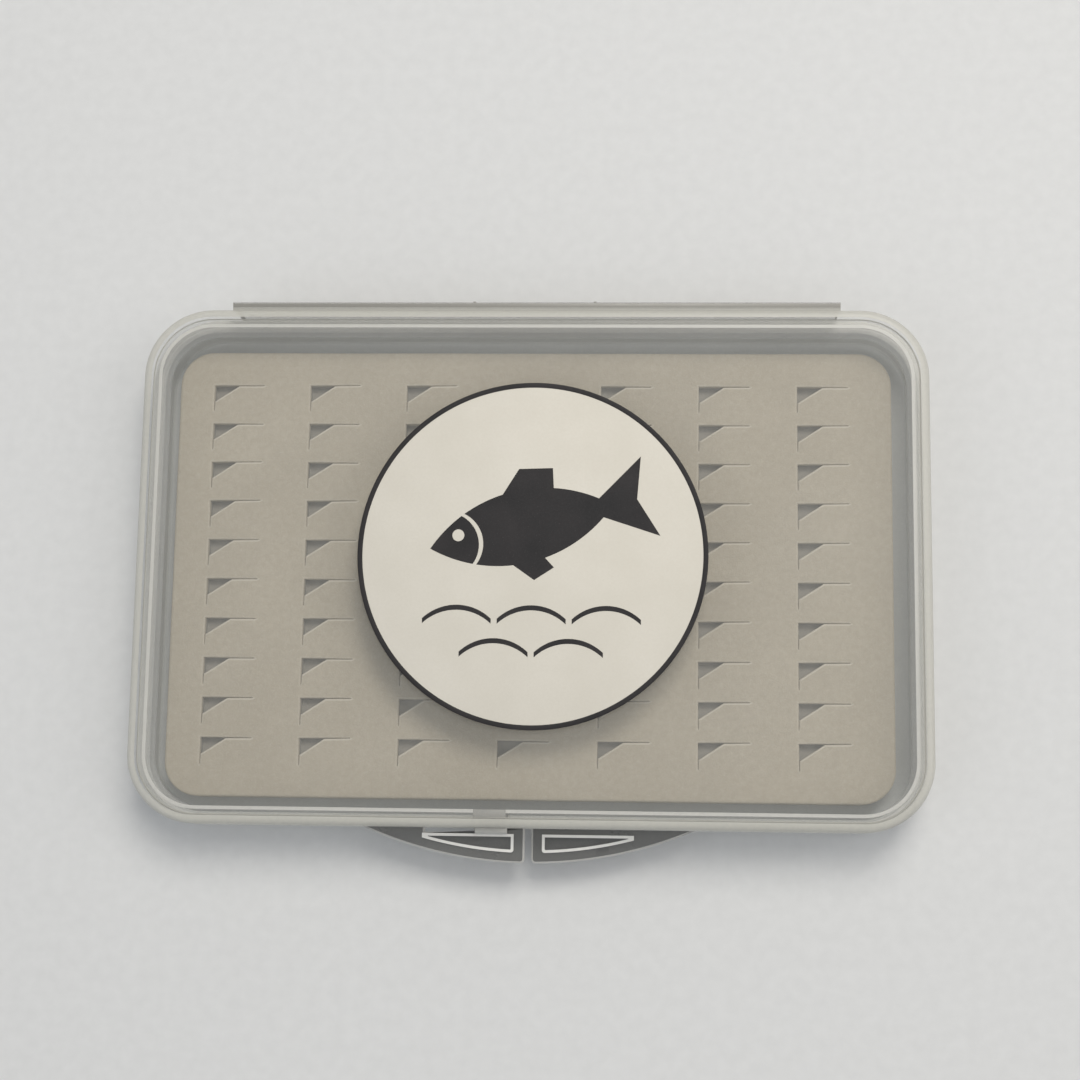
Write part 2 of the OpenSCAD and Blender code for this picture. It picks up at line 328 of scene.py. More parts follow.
def polypropylene(name, thin, thick, rim, density, least, highlight_cover, full_mm=7.0):
    """Translucent moulded plastic. Its colour goes from thin to thick by the wall behind a face, up to
    full_mm. It hides what is behind it by the wall and the density, but never less than least. Faces marked
    by the edge attribute carry a painted highlight: their colour goes to rim, and they hide at least a given
    share of what is behind them."""
    mat, tree, shader, coords = new_material(name)
    wall = add(tree, "ShaderNodeAttribute", attribute_name="wall").outputs["Fac"]
    edge = add(tree, "ShaderNodeAttribute", attribute_name="edge").outputs["Fac"]
    cloud = speckle(tree, coords, 14, detail=3.0)
    grain = speckle(tree, coords, 0.35, detail=3.0, roughness=0.6)
    uneven = spread(tree, cloud, 0.3, 0.7, 0.88, 1.12)
    path = maths(tree, "MULTIPLY", maths(tree, "POWER", wall, 1.5), -density)
    path = maths(tree, "MULTIPLY", path, uneven)
    milky = maths(tree, "SUBTRACT", 1.0, maths(tree, "EXPONENT", path))
    milky = maths(tree, "MAXIMUM", milky, least)
    # Painted highlight: faces marked by the edge attribute are made at least this milky, so they show bright.
    painted_highlight_cover = maths(tree, "MULTIPLY", edge, highlight_cover)
    milky = maths(tree, "MAXIMUM", milky, painted_highlight_cover)
    marks = scratches(tree, coords, 24, 16, 0.10, 0.715)
    milky = maths(tree, "ADD", milky, maths(tree, "MULTIPLY", marks, 0.05), clamp=True)
    colour = blended(tree, spread(tree, wall, 0.4, full_mm), (*thin, 1.0), (*thick, 1.0))
    # Painted highlight: the marked faces take the rim colour.
    colour = blended(tree, edge, colour, (*rim, 1.0))
    tone = blended(tree, spread(tree, grain, 0.3, 0.7), (0.94, 0.94, 0.95, 1.0), (1.0, 1.0, 1.0, 1.0))
    colour = add(
        tree, "ShaderNodeMix", {0: 1.0, 6: colour, 7: tone}, data_type="RGBA", blend_type="MULTIPLY",
    ).outputs[2]
    rough = spread(tree, grain, 0.3, 0.7, 0.34, 0.46)
    rough = maths(tree, "ADD", rough, maths(tree, "MULTIPLY", marks, 0.15))
    wire(tree, shader, {
        "Base Color": colour,
        "Roughness": rough,
        "Alpha": milky,
        "Normal": bump(tree, grain, 0.25, 0.02),
        "IOR": 1.49,
    })
    return mat


def eva_foam():
    """Closed-cell foam: warm grey, matt, with fine cells and a faint mottle, a painted highlight on the
    slots' mouths and painted shade deep in the slots.
    """
    mat, tree, shader, coords = new_material("eva_foam_cells")
    mottle = speckle(tree, coords, 9, detail=4.0, roughness=0.6)
    fleck = speckle(tree, coords, 0.5, detail=2.0)
    cells = add(
        tree, "ShaderNodeTexVoronoi", {"Vector": coords, "Scale": 1 / (0.32 * MM)}, feature="F1",
    ).outputs["Distance"]
    pore = spread(tree, cells, 0.15, 0.75)
    base = blended(tree, spread(tree, mottle, 0.3, 0.7), (0.418, 0.368, 0.286, 1), (0.474, 0.42, 0.331, 1))
    base = blended(tree, spread(tree, fleck, 0.35, 0.65, 0.0, 0.35), base, (0.375, 0.328, 0.252, 1))
    base = blended(tree, spread(tree, cells, 0.5, 0.9, 0.0, 0.3), base, (0.532, 0.482, 0.39, 1))
    cut = add(tree, "ShaderNodeAttribute", attribute_name="cut").outputs["Fac"]
    deep = add(tree, "ShaderNodeAttribute", attribute_name="deep").outputs["Fac"]
    # Painted highlight: lighter on the slots' mouths, most on the side that faces the light.
    base = blended(tree, maths(tree, "MULTIPLY", cut, 0.5), base, (0.68, 0.63, 0.54, 1))
    # Painted shade: darker on the slots' deep walls and floors.
    base = blended(tree, maths(tree, "MULTIPLY", deep, 0.8), base, (0.30, 0.288, 0.265, 1))
    height = maths(tree, "ADD", maths(tree, "MULTIPLY", pore, 0.6), maths(tree, "MULTIPLY", fleck, 0.4))
    wire(tree, shader, {
        "Base Color": base,
        "Roughness": spread(tree, fleck, 0.3, 0.7, 0.86, 0.97),
        "Normal": bump(tree, height, 0.5, 0.06),
        "IOR": 1.4,
    })
    shader.inputs["Sheen Weight"].default_value = 0.08
    shader.inputs["Sheen Roughness"].default_value = 0.5
    return mat


def glue(name, tint, cover):
    """A milky layer of pressure-sensitive adhesive with small trapped bubbles."""
    mat, tree, shader, coords = new_material(name)
    cloud = speckle(tree, coords, 3.5, detail=3.0)
    bubbles = add(
        tree, "ShaderNodeTexVoronoi", {"Vector": coords, "Scale": 1 / (2.6 * MM)}, feature="F1",
    ).outputs["Distance"]
    bubble = spread(tree, bubbles, 0.10, 0.16, 1.0, 0.0)
    shade = tuple(0.86 * part for part in tint)
    colour = blended(tree, spread(tree, cloud, 0.3, 0.7), (*tint, 1.0), (*shade, 1.0))
    film = spread(tree, cloud, 0.3, 0.7, cover, cover + 0.1)
    alpha = maths(tree, "SUBTRACT", film, maths(tree, "MULTIPLY", bubble, 0.2))
    wire(tree, shader, {
        "Base Color": colour,
        "Roughness": spread(tree, cloud, 0.3, 0.7, 0.3, 0.5),
        "Alpha": alpha,
        "Normal": bump(tree, maths(tree, "ADD", cloud, bubble), 0.3, 0.03),
    })
    return mat


def label_paper():
    """Cream label stock with a fine fibre, a soft finish and a slightly uneven lie."""
    mat, tree, shader, coords = new_material("label_stock")
    fibre = speckle(tree, coords, 0.22, detail=4.0, roughness=0.65)
    patch = speckle(tree, coords, 6, detail=3.0)
    ripple = speckle(tree, coords, 11, detail=1.0)
    base = blended(tree, spread(tree, patch, 0.3, 0.7), (0.655, 0.618, 0.54, 1), (0.70, 0.662, 0.585, 1))
    base = blended(tree, spread(tree, fibre, 0.35, 0.7, 0.0, 0.25), base, (0.60, 0.56, 0.48, 1))
    fine = bump(tree, fibre, 0.2, 0.012)
    lie = add(
        tree, "ShaderNodeBump",
        {"Height": ripple, "Strength": 0.35, "Distance": 0.35 * MM, "Normal": fine},
    ).outputs["Normal"]
    wire(tree, shader, {
        "Base Color": base,
        "Roughness": spread(tree, fibre, 0.3, 0.7, 0.55, 0.7),
        "Normal": lie,
        "Specular IOR Level": 0.35,
    })
    return mat


def printed_ink():
    """Near-black printing ink, a little thin in places."""
    mat, tree, shader, coords = new_material("ink_print")
    grain = speckle(tree, coords, 0.16, detail=3.0)
    patch = speckle(tree, coords, 4, detail=2.0)
    base = blended(tree, spread(tree, patch, 0.3, 0.7), (0.012, 0.011, 0.012, 1), (0.022, 0.019, 0.02, 1))
    base = blended(tree, spread(tree, grain, 0.6, 0.78, 0.0, 0.4), base, (0.075, 0.07, 0.068, 1))
    wire(tree, shader, {
        "Base Color": base,
        "Roughness": spread(tree, grain, 0.3, 0.7, 0.55, 0.7),
        "Normal": bump(tree, grain, 0.15, 0.01),
        "Specular IOR Level": 0.35,
    })
    return mat


def pale_surface():
    """The floor: a plain pale sheet with a barely visible tooth."""
    mat, tree, shader, coords = new_material("pale_floor")
    tooth = speckle(tree, coords, 1.2, detail=3.0)
    base = blended(tree, spread(tree, tooth, 0.3, 0.7), (0.66, 0.66, 0.655, 1), (0.69, 0.69, 0.685, 1))
    wire(tree, shader, {"Base Color": base, "Roughness": 0.75, "Normal": bump(tree, tooth, 0.1, 0.05)})
    return mat


# Each plastic's rim colour and its share on marked faces make its painted highlight.
LID_PP = polypropylene(
    "pp_lid", thin=(0.60, 0.60, 0.57), thick=(0.52, 0.508, 0.455), rim=(0.54, 0.526, 0.47),
    density=0.088, least=0.10, highlight_cover=0.82,
)
BASE_PP = polypropylene(
    "pp_base", thin=(0.765, 0.785, 0.775), thick=(0.78, 0.765, 0.71), rim=(0.78, 0.765, 0.71),
    density=0.33, least=0.50, highlight_cover=0.60,
)
RIM_PP = polypropylene(
    "pp_seal_rim", thin=(0.50, 0.51, 0.50), thick=(0.60, 0.59, 0.56), rim=(0.60, 0.59, 0.56),
    density=0.1, least=0.06, highlight_cover=0.10,
)
LIP_PP = polypropylene(
    "pp_lip", thin=(0.68, 0.695, 0.69), thick=(0.70, 0.685, 0.64), rim=(0.68, 0.695, 0.69),
    density=0.10, least=0.30, highlight_cover=0.30,
)
LATCH_PP = polypropylene(
    "pp_latch", thin=(0.54, 0.525, 0.475), thick=(0.40, 0.39, 0.36), rim=(0.58, 0.57, 0.53),
    density=0.12, least=0.50, highlight_cover=0.95, full_mm=3.0,
)
TAB_PP = polypropylene(
    "pp_tabs", thin=(0.095, 0.095, 0.09), thick=(0.72, 0.705, 0.66), rim=(0.86, 0.845, 0.80),
    density=1.1, least=0.44, highlight_cover=0.92, full_mm=8.0,
)
HINGE_PP = polypropylene(
    "pp_hinge", thin=(0.385, 0.375, 0.345), thick=(0.28, 0.27, 0.243), rim=(0.36, 0.35, 0.315),
    density=0.15, least=0.25, highlight_cover=0.60,
)
FILM_PP = polypropylene(
    "pp_film", thin=(0.46, 0.45, 0.41), thick=(0.46, 0.45, 0.41), rim=(0.46, 0.45, 0.41),
    density=1.0, least=0.85, highlight_cover=0.85,
)
FOAM = eva_foam()
FOAM_GLUE = glue("foam_adhesive_film", (0.62, 0.58, 0.48), 0.6)
LABEL_GLUE = glue("label_adhesive_film", (0.74, 0.71, 0.64), 0.8)
PAPER = label_paper()
INK = printed_ink()


# ---------------------------------------------------------------- base

def base_tray():
    """The base's floor and wall."""
    # The wall's top outer edge (lit) gets a painted highlight.
    section = rounded([
        (MIDDLE_INSET, 0.0, 0),
        (BASE_WALL, 0.0, 0),
        (0.0, 0.0, EDGE_R),
        (0.0, tray_high.z, PARTING_R),
        (BASE_WALL, tray_high.z, WALL_END_R),
        (BASE_WALL, FLOOR_T, FLOOR_FILLET),
        (MIDDLE_INSET, FLOOR_T, 0),
    ], steps=6, lit=(3,))
    bm = swept(section, case_outline, True, False)
    measure_walls(bm)
    piece("tray_moulding", bm, BASE_PP, "base", ["base_tray"])


def base_seal_rim():
    """The thin rim that stands on the base's wall and is open at the latch."""
    low, high = (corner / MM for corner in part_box("base_seal_rim"))
    outer = BASE_WALL - RIM_T
    section = rounded([
        (outer, low.z + HAIR, 0),
        (outer, high.z, WALL_END_R),
        (BASE_WALL, high.z, WALL_END_R),
        (BASE_WALL, low.z + HAIR, 0),
    ], steps=3)
    bm = swept(section, lambda inset: case_outline(inset, RIM_NOTCH), False, True)
    measure_walls(bm)
    piece("seal_rim", bm, RIM_PP, "base", ["base_seal_rim"])


def base_latch_lug():
    """The lug that holds the lid's tongue."""
    # Its rounded edges get a painted highlight.
    bm = from_cad("base_latch_lug", moves=[(2, tray_high.z, HAIR)], bevel=0.04)
    measure_walls(bm)
    piece("latch_lug", bm, LATCH_PP, "base", ["base_latch_lug"])


def rounded_off(bm, edges, radius, lit, clamp):
    """Rounds edges and marks the new faces with how strong a painted highlight they get."""
    painted_highlight_layer = bm.faces.layers.float["edge"]
    made = bmesh.ops.bevel(
        bm, geom=edges, offset=radius * MM, segments=3, profile=0.5, affect="EDGES", clamp_overlap=clamp,
    )
    for face in made["faces"]:
        face[painted_highlight_layer] = lit


def tab_outer_edges(bm, plate_top):
    """The upper edges of a tab's sides that are as high as its plate and stand in front of the case."""
    side_height = 0.95
    outer = []
    for face in bm.faces:
        heights = [vert.co.z / MM for vert in face.verts]
        upright = abs(face.normal.z) < 0.1 and max(heights) - min(heights) > side_height
        if upright and face.calc_center_median().y / MM < FRONT_Y - 0.1:
            for edge in face.edges:
                high = min(vert.co.z for vert in edge.verts) / MM > plate_top - 0.01
                if high and edge not in outer:
                    outer.append(edge)
    return outer


def tab_mesh(node, plate_top):
    """A thumb tab with its outer upper edge rounded more than the rest. That edge, its other rounded edges
    and the raised rim round the window get a painted highlight, and other faces above the plate and
    underneath a faint one."""
    window_rim = 0.14
    above_plate = 0.004
    underside = -0.5
    bm = from_cad(node, moves=[(1, FRONT_Y, -HAIR)])
    painted_highlight_layer = bm.faces.layers.float["edge"]
    rounded_off(bm, tab_outer_edges(bm, plate_top), TAB_EDGE_R, 0.6, False)
    others = [edge for edge in bm.edges if edge.calc_face_angle(0) > math.radians(50)]
    rounded_off(bm, others, TAB_SMALL_R, 1.0, True)
    # Painted highlight: full on the window's raised rim, faint on other faces above the plate and underneath.
    for face in bm.faces:
        height = face.calc_center_median().z / MM - plate_top
        if height > window_rim:
            face[painted_highlight_layer] = 1.0
        elif height > above_plate or height < underside:
            face[painted_highlight_layer] = 0.15
    bmesh.ops.dissolve_degenerate(bm, dist=0.02 * MM, edges=bm.edges)
    bmesh.ops.recalc_face_normals(bm, faces=bm.faces)
    return bm


def base_thumb_tab():
    """The right-hand thumb tab."""
    bm = tab_mesh("base_thumb_tab", BASE_TAB_TOP)
    measure_walls(bm)
    piece("thumb_tab_right", bm, TAB_PP, "base", ["base_thumb_tab"], smooth=20)


# ---------------------------------------------------------------- lid

def lid_shell():
    """The lid's top plate and outer wall. The plate is divided where the wall and the lip stand under it."""
    below_plate = 0.3
    # The plate's top outer edge and the fillet under it by the wall (lit) get a painted highlight.
    section = rounded([
        (MIDDLE_INSET, PLATE_UNDER, 0),
        (LIP_INNER, PLATE_UNDER, 0),
        (LID_WALL, PLATE_UNDER, PLATE_FILLET),
        (LID_WALL, shell_low.z, PARTING_R),
        (0.0, shell_low.z, PARTING_R),
        (0.0, PLATE_UNDER - below_plate, 0),
        (0.0, shell_high.z, EDGE_R),
        (LID_WALL, shell_high.z, 0),
        (LID_WALL + PLATE_FILLET, shell_high.z, 0),
        (LIP_INNER, shell_high.z, 0),
        (MIDDLE_INSET, shell_high.z, 0),
    ], steps=6, lit=(2, 6))
    bm = swept(section, case_outline, True, False)
    measure_walls(bm)
    piece("lid_moulding", bm, LID_PP, "lid", ["lid_shell"])


def lid_seal_lip():
    """The lip under the lid's plate that fits inside the base's rim."""
    low, high = (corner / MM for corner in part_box("lid_seal_lip"))
    notch = (LIP_NOTCH[0] - HAIR, LIP_NOTCH[1] + HAIR)
    section = rounded([
        (LIP_OUTER, high.z - HAIR, 0),
        (LIP_OUTER, low.z, LIP_END_R),
        (LIP_INNER, low.z, LIP_END_R),
        (LIP_INNER, high.z - HAIR, 0),
    ], steps=3)
    bm = swept(section, lambda inset: case_outline(inset, notch), False, True)
    measure_walls(bm)
    piece("seal_lip", bm, LIP_PP, "lid", ["lid_seal_lip"])


def lid_latch_block():
    """The latch block with its tongue, and the boss on the tab."""
    moves = [(2, PLATE_UNDER, -HAIR), (1, FRONT_Y + LID_WALL, HAIR), (1, FRONT_Y, -HAIR)]
    bm = from_cad("lid_latch_block", moves=moves, bevel=0.04)
    painted_highlight_layer = bm.faces.layers.float["edge"]
    # Painted highlight on the boss in front of the case, lightening it where the lid's wall shades it; the
    # block's other faces get none.
    for face in bm.faces:
        face[painted_highlight_layer] = 1.0 if face.calc_center_median().y / MM < FRONT_Y else 0.0
    measure_walls(bm)
    piece("latch_block", bm, LATCH_PP, "lid", ["lid_latch_block"])


def lid_thumb_tab():
    """The left-hand thumb tab with the slot beside the latch."""
    bm = tab_mesh("lid_thumb_tab", LID_TAB_TOP)
    measure_walls(bm)
    piece("thumb_tab_left", bm, TAB_PP, "lid", ["lid_thumb_tab"], smooth=20)


# ---------------------------------------------------------------- hinge

def hinge_spine():
    """The upright strip between the two films."""
    # Its rounded edges get a painted highlight.
    bm = from_cad("hinge_spine", bevel=0.1, sharp=50)
    measure_walls(bm)
    piece("spine_strip", bm, HINGE_PP, "hinge", ["hinge_spine"])


def hinge_film(node, name, bodies):
    """A thin film, waisted where it folds, that bends between two bodies."""
    low, high = (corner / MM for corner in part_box(node))
    along = 8
    across = 10
    waist = 0.35
    # Every face of the film carries a faint painted highlight mark.
    lit = 0.4
    bm = bmesh.new()
    painted_highlight_layer = bm.faces.layers.float.new("edge")
    middle_z = (low.z + high.z) / 2
    half_t = (high.z - low.z) / 2
    rings = []
    for j in range(across + 1):
        t = j / across
        y = low.y + HAIR + (high.y - low.y - 2 * HAIR) * t
        h = half_t * (1 - waist * math.sin(math.pi * t) ** 2)
        row = []
        for side in (1, -1):
            for i in range(along + 1):
                s = i / along if side > 0 else 1 - i / along
                x = low.x + (high.x - low.x) * s
                row.append(bm.verts.new((x * MM, y * MM, (middle_z + side * h) * MM)))
        rings.append(row)
    count = len(rings[0])
    for j in range(across):
        for i in range(count):
            k = (i + 1) % count
            bm.faces.new((rings[j][i], rings[j][k], rings[j + 1][k], rings[j + 1][i]))
    bm.faces.new(rings[0])
    bm.faces.new(rings[-1])
    bmesh.ops.recalc_face_normals(bm, faces=bm.faces)
    measure_walls(bm)
    for face in bm.faces:
        face[painted_highlight_layer] = lit
    film = piece(name, bm, FILM_PP, None, [node])
    start = (0, low.y * MM, middle_z * MM)
    end = (0, high.y * MM, middle_z * MM)
    if bodies[0] == "hinge":
        start, end = end, start
    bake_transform(film, bodies[0], bodies[1], start=start, end=end)


# ---------------------------------------------------------------- foam

FOAM_R = 6.3
FOAM_TOP = foam_high.z
FOAM_CENTRE = ((foam_low.x + foam_high.x) / 2, (foam_low.y + foam_high.y) / 2)
FOAM_HALF_W = (foam_high.x - foam_low.x) / 2
FOAM_HALF_D = (foam_high.y - foam_low.y) / 2
# The die-cut side from the top down, as (inset, height, waviness).
FOAM_SIDE = [
    (0.55, FOAM_TOP, 0.0), (0.22, FOAM_TOP - 0.06, 0.02), (0.05, FOAM_TOP - 0.22, 0.04),
    (0.02, FOAM_TOP - 0.6, 0.06), (0.10, FOAM_TOP - 2.0, 0.08), (0.13, FOAM_TOP - 3.2, 0.08),
    (0.08, FOAM_TOP - 4.6, 0.06), (0.03, foam_low.z, 0.0),
]

# The slots. A slot is a pocket with a slit to the right along its back edge and another down its left edge.
SLOT_COLUMNS = 7
SLOT_ROWS = 10
SLOT_PITCH = (18.26, 7.37)
SLOT_FIRST = (-60.7, 34.85)
POCKET = (4.8, 3.1)
SLIT_RIGHT = 9.3
SLIT_DOWN = 4.8
SLIT_W = 0.10
SLIT_TAPER = 0.07
LEFT_SLIT_W = 0.05
POCKET_DEPTH = 2.2
# A slot's mouth and walls from the top down, as (how far it is wider than the slot, depth).
SLOT_WALL = [(0.36, 0.0), (0.17, 0.03), (0.05, 0.12), (0.0, 0.30), (0.0, 1.2), (0.0, POCKET_DEPTH)]
# The stretch of a slot's loop that lies in front of its opening, and so faces the hinge and the key light.
# Its mouth gets the full painted highlight there.
LIT_FROM = 7
LIT_TO = 15

# The grid of points on the foam's top, and how far inside its edge they start.
GRID = 1.6
GRID_INSIDE = 1.4


def slot_loop():
    """One slot's opening in plan, clockwise from the pocket's back left corner."""
    slope = POCKET[0] / POCKET[1]
    back = [(POCKET[0] * t, 0.0) for t in (0.0, 0.33, 0.66, 1.0)]
    slit_x = [POCKET[0] + (SLIT_RIGHT - POCKET[0]) * t for t in (0.33, 0.66, 1.0)]
    back += [(x, 0.0) for x in slit_x]
    tip = [(SLIT_RIGHT + 0.05, -0.015)]
    under = []
    for x in reversed(slit_x):
        width = SLIT_W - SLIT_TAPER * (x - POCKET[0]) / (SLIT_RIGHT - POCKET[0])
        under.append((x - 0.05, -width))
    slant_start = (POCKET[0] - SLIT_W * slope, -SLIT_W)
    slant_end = (0.06, -POCKET[1] + 0.06 / slope)
    slant = []
    for t in (0.0, 0.25, 0.5, 0.75, 1.0):
        slant.append((
            slant_start[0] + (slant_end[0] - slant_start[0]) * t,
            slant_start[1] + (slant_end[1] - slant_start[1]) * t,
        ))
    down = [(LEFT_SLIT_W, -POCKET[1] - 0.8), (0.7 * LEFT_SLIT_W, -SLIT_DOWN)]
    down.append((0.36 * LEFT_SLIT_W, -SLIT_DOWN - 0.05))
    left = [(0.0, -SLIT_DOWN), (0.0, -POCKET[1] - 0.8), (0.0, -POCKET[1]), (0.0, -POCKET[1] / 2)]
    return back + tip + under + slant + down + left


def grown(loop, distance):
    """A clockwise loop pushed outwards by a distance, with its sharp corners kept short."""
    points = []
    count = len(loop)
    for i, (x, y) in enumerate(loop):
        before = Vector((x, y)) - Vector(loop[i - 1])
        after = Vector(loop[(i + 1) % count]) - Vector((x, y))
        normal_a = Vector((-before.y, before.x)).normalized()
        normal_b = Vector((-after.y, after.x)).normalized()
        normal = normal_a + normal_b
        if normal.length < 0.2:
            normal = before.normalized()
        normal.normalize()
        stretch = min(1 / max(normal.dot(normal_b), 0.5), 1.6)
        points.append((x + normal.x * distance * stretch, y + normal.y * distance * stretch))
    return points


def foam_rise(x, y, lifts):
    """How far the foam's top stands above flat at a point. The flap in front of each slit stands a little
    proud, and the foam behind the slit dips. lifts maps a slot's column and row to its (lift, dip)."""
    rise = 0.05 * noise.noise(Vector((x / 17, y / 17, 3.1)))
    column = round((x - SLOT_FIRST[0] - 5.0) / SLOT_PITCH[0])
    row = round((SLOT_FIRST[1] + CASE_Y - y - 2.0) / SLOT_PITCH[1])
    if not (0 <= column < SLOT_COLUMNS and 0 <= row < SLOT_ROWS):
        return rise
    u = x - SLOT_FIRST[0] - column * SLOT_PITCH[0]
    v = y - SLOT_FIRST[1] - CASE_Y + row * SLOT_PITCH[1]
    lift, dip = lifts[column, row]
    if -0.4 < u < SLIT_RIGHT + 1:
        along = math.sin(math.pi * min(max((u + 0.4) / (SLIT_RIGHT + 1.4), 0), 1)) ** 0.8
        if v < -0.03:
            rise += lift * along * math.exp(-((v / 2.2) ** 2))
        elif v < 2.5:
            rise -= dip * along * math.exp(-((v / 1.1) ** 2))
    return rise


def foam_ring(bm, lifts, inset, z, wavy):
    """A ring of vertices round the bed, with enough of them along its straight sides."""
    verts = []
    points = outline(FOAM_HALF_W, FOAM_HALF_D, FOAM_R, inset, FOAM_CENTRE)
    for i, (x, y) in enumerate(points):
        following = points[(i + 1) % len(points)]
        pieces = max(1, round(math.dist((x, y), following) / 2.2))
        for k in range(pieces):
            px = x + (following[0] - x) * k / pieces
            py = y + (following[1] - y) * k / pieces
            push = wavy * noise.noise(Vector((px / 6, py / 6, z / 3)))
            pz = z + (foam_rise(px, py, lifts) if z > FOAM_TOP - 1 else 0)
            out = Vector((px - FOAM_CENTRE[0], py - FOAM_CENTRE[1])).normalized() * push
            verts.append(bm.verts.new(((px + out.x) * MM, (py + out.y) * MM, pz * MM)))
    return verts


def foam_sides(bm, lifts):
    """The bed's sides and underside. Gives the ring of its upper edge."""
    rings = [foam_ring(bm, lifts, *values) for values in FOAM_SIDE]
    count = len(rings[0])
    for upper, lower in zip(rings, rings[1:]):
        for i in range(count):
            k = (i + 1) % count
            bm.faces.new((upper[i], upper[k], lower[k], lower[i]))
    bm.faces.new(rings[-1])
    return rings[0]


def foam_slot(bm, lifts, column, row, turn):
    """One slot's walls and floor, turned by a small angle. Gives the ring of its mouth."""
    mouth_highlight_layer = bm.faces.layers.float["cut"]
    painted_shade_layer = bm.faces.layers.float["deep"]
    x0 = SLOT_FIRST[0] + column * SLOT_PITCH[0]
    y0 = SLOT_FIRST[1] - row * SLOT_PITCH[1] + CASE_Y
    loop = slot_loop()
    levels = []
    for grow, depth in SLOT_WALL:
        verts = []
        for u, v in grown(loop, grow):
            x = x0 + u - turn * v
            y = y0 + v + turn * u
            z = FOAM_TOP - depth
            if depth < 1:
                z += foam_rise(x0 + u, y0 + v, lifts)
            verts.append(bm.verts.new((x * MM, y * MM, z * MM)))
        levels.append(verts)
    for level, (upper, lower) in enumerate(zip(levels, levels[1:])):
        for i in range(len(loop)):
            k = (i + 1) % len(loop)
            face = bm.faces.new((upper[k], upper[i], lower[i], lower[k]))
            # Painted highlight on the mouth, full where it faces the light; painted shade on the deep walls.
            if level < 2:
                face[mouth_highlight_layer] = 1.0 if LIT_FROM <= i < LIT_TO else 0.3
            elif level > 3:
                face[painted_shade_layer] = 1.0
    # Painted shade on the pocket's floor.
    bm.faces.new(levels[-1])[painted_shade_layer] = 1.0
    return levels[0]


def inside_foam(x, y):
    """How far a point lies inside the bed's outline."""
    across = abs(x - FOAM_CENTRE[0]) - FOAM_HALF_W + FOAM_R
    along = abs(y - FOAM_CENTRE[1]) - FOAM_HALF_D + FOAM_R
    return FOAM_R - math.hypot(max(across, 0), max(along, 0)) - min(max(across, along), 0)


def near_slot(x, y):
    """Whether a point lies in a slot or close round it."""
    u = (x - SLOT_FIRST[0]) % SLOT_PITCH[0]
    v = (SLOT_FIRST[1] + CASE_Y - y) % SLOT_PITCH[1]
    if u > SLOT_PITCH[0] - 1:
        u -= SLOT_PITCH[0]
    if v > SLOT_PITCH[1] - 1:
        v -= SLOT_PITCH[1]
    near_pocket = -1 < u < POCKET[0] + 1 and -1 < v < POCKET[1] + 1
    near_slit = -1 < u < SLIT_RIGHT + 1 and -0.8 < v < 0.9
    near_left = -1 < u < 1 and -1 < v < SLIT_DOWN + 0.9
    return near_pocket or near_slit or near_left


def foam_top(bm, lifts, edge_ring, slot_rings):
    """The bed's top: triangles between its upper edge, the slots' mouths and a grid of points."""
    loops = [edge_ring] + slot_rings
    owners = [v for verts in loops for v in verts]
    flat = [Vector((v.co.x, v.co.y)) / MM for v in owners]
    edges = []
    faces = []
    start = 0
    for verts in loops:
        numbers = list(range(start, start + len(verts)))
        edges += list(zip(numbers, numbers[1:] + numbers[:1]))
        faces.append(numbers if not start else numbers[::-1])
        start += len(verts)
    for i in range(int(2 * FOAM_HALF_W / GRID)):
        for j in range(int(2 * FOAM_HALF_D / GRID)):
            x = foam_low.x + (i + 0.5 + 0.3 * (j % 2)) * GRID
            y = foam_low.y + (j + 0.5) * GRID
            if inside_foam(x, y) < GRID_INSIDE or near_slot(x, y):
                continue
            flat.append(Vector((x, y)))
            z = FOAM_TOP + foam_rise(x, y, lifts)
            owners.append(bm.verts.new((x * MM, y * MM, z * MM)))
    _, _, triangles, sources, _, inside_of = delaunay_2d_cdt(flat, edges, faces, 1, 1e-5)
    corner = [owners[source[0]] for source in sources]
    for triangle, origin in zip(triangles, inside_of):
        if list(origin) == [0]:
            bm.faces.new([corner[n] for n in triangle])


def foam_bed():
    """The foam bed: die-cut sides, and slots with softly rounded mouths and slightly raised flaps."""
    draw = random.Random(7)
    lifts = {}
    for column in range(SLOT_COLUMNS):
        for row in range(SLOT_ROWS):
            lifts[column, row] = (draw.uniform(0.05, 0.20), draw.uniform(0.02, 0.10))
    bm = bmesh.new()
    # cut holds the painted highlight on the slots' mouths, deep the painted shade in the pockets.
    bm.faces.layers.float.new("cut")
    bm.faces.layers.float.new("deep")
    edge_ring = foam_sides(bm, lifts)
    slot_rings = []
    for column in range(SLOT_COLUMNS):
        for row in range(SLOT_ROWS):
            turn = draw.uniform(-0.012, 0.012)
            slot_rings.append(foam_slot(bm, lifts, column, row, turn))
    foam_top(bm, lifts, edge_ring, slot_rings)
    bmesh.ops.remove_doubles(bm, verts=bm.verts, dist=1e-8)
    bmesh.ops.recalc_face_normals(bm, faces=bm.faces)
    ob = piece("foam_insert", bm, FOAM, "base", ["foam_bed"], smooth=55)


def foam_adhesive():
    """The adhesive sheet under the foam."""
    low, high = (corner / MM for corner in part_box("foam_adhesive"))
    bm = from_cad("foam_adhesive", moves=[(2, low.z, HAIR), (2, high.z, -HAIR)], bevel=0.04)
    piece("foam_glue_sheet", bm, FOAM_GLUE, "base", ["foam_adhesive"])


# ---------------------------------------------------------------- label

